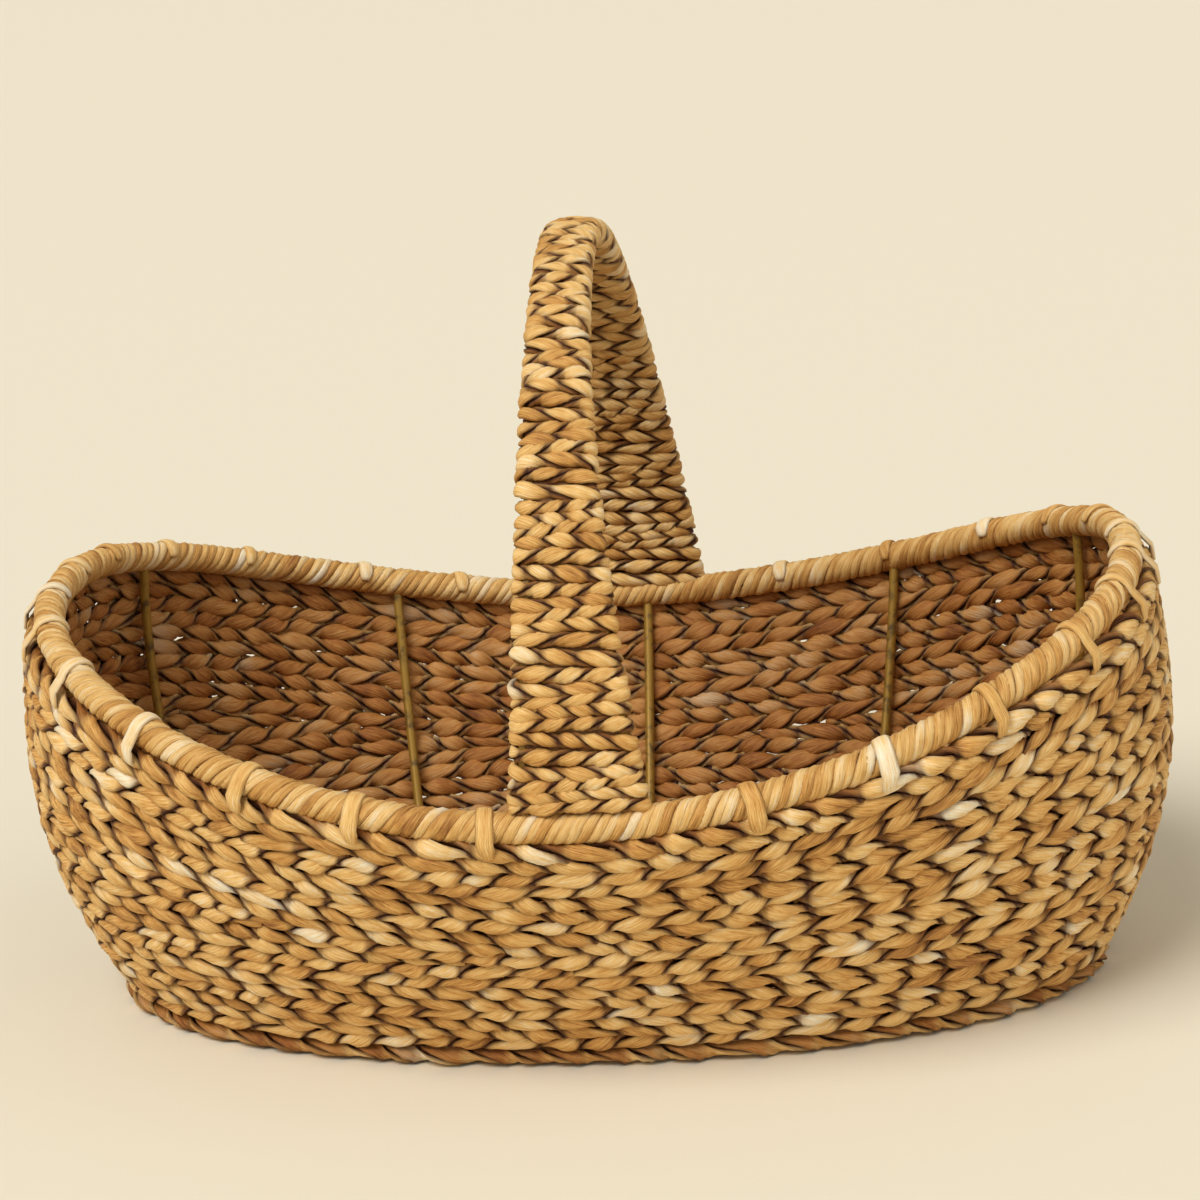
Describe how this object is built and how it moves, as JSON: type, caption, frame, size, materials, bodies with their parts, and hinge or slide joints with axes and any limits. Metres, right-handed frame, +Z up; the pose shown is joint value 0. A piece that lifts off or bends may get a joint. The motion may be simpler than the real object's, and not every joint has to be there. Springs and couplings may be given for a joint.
{
  "type": "trug garden basket",
  "caption": "Boat-shaped oval basket woven on a wire frame, with a saddle-shaped bound rim and a fixed strap handle arching across it, for carrying flowers, fruit or tools.",
  "frame": {"origin": "on the floor, under the middle of the basket's box", "axes": "+X along the length of the basket, +Y towards the back, so that the handle spans Y, +Z up"},
  "size_m": [0.5832, 0.4082, 0.3935],
  "materials": {
    "wire": "gold paint, satin, worn in places",
    "wall_seagrass": "natural twisted seagrass, golden tan with dark creases",
    "base_seagrass": "natural twisted seagrass, darker",
    "handle_seagrass": "natural seagrass wrapped and woven over the wires",
    "binding": "seagrass strip wound round the rim",
    "stitches": "pale flat seagrass strips"
  },
  "bodies": {
    "root": {"rim_wire": "wire", "base_ring": "wire", "rib_back_1": "wire", "rib_back_2": "wire", "rib_back_3": "wire", "rib_back_4": "wire", "rib_back_5": "wire", "rib_front_1": "wire", "rib_front_2": "wire", "rib_front_3": "wire", "rib_front_4": "wire", "rib_front_5": "wire", "cross_wire_left": "wire", "cross_wire_middle": "wire", "cross_wire_right": "wire", "handle_wire_left": "wire", "handle_wire_right": "wire", "base_weave": "base_seagrass", "wall_weave": "wall_seagrass", "handle_weave": "handle_seagrass", "rim_binding": "binding", "rim_stitches": "stitches"}
  },
  "joints": []
}
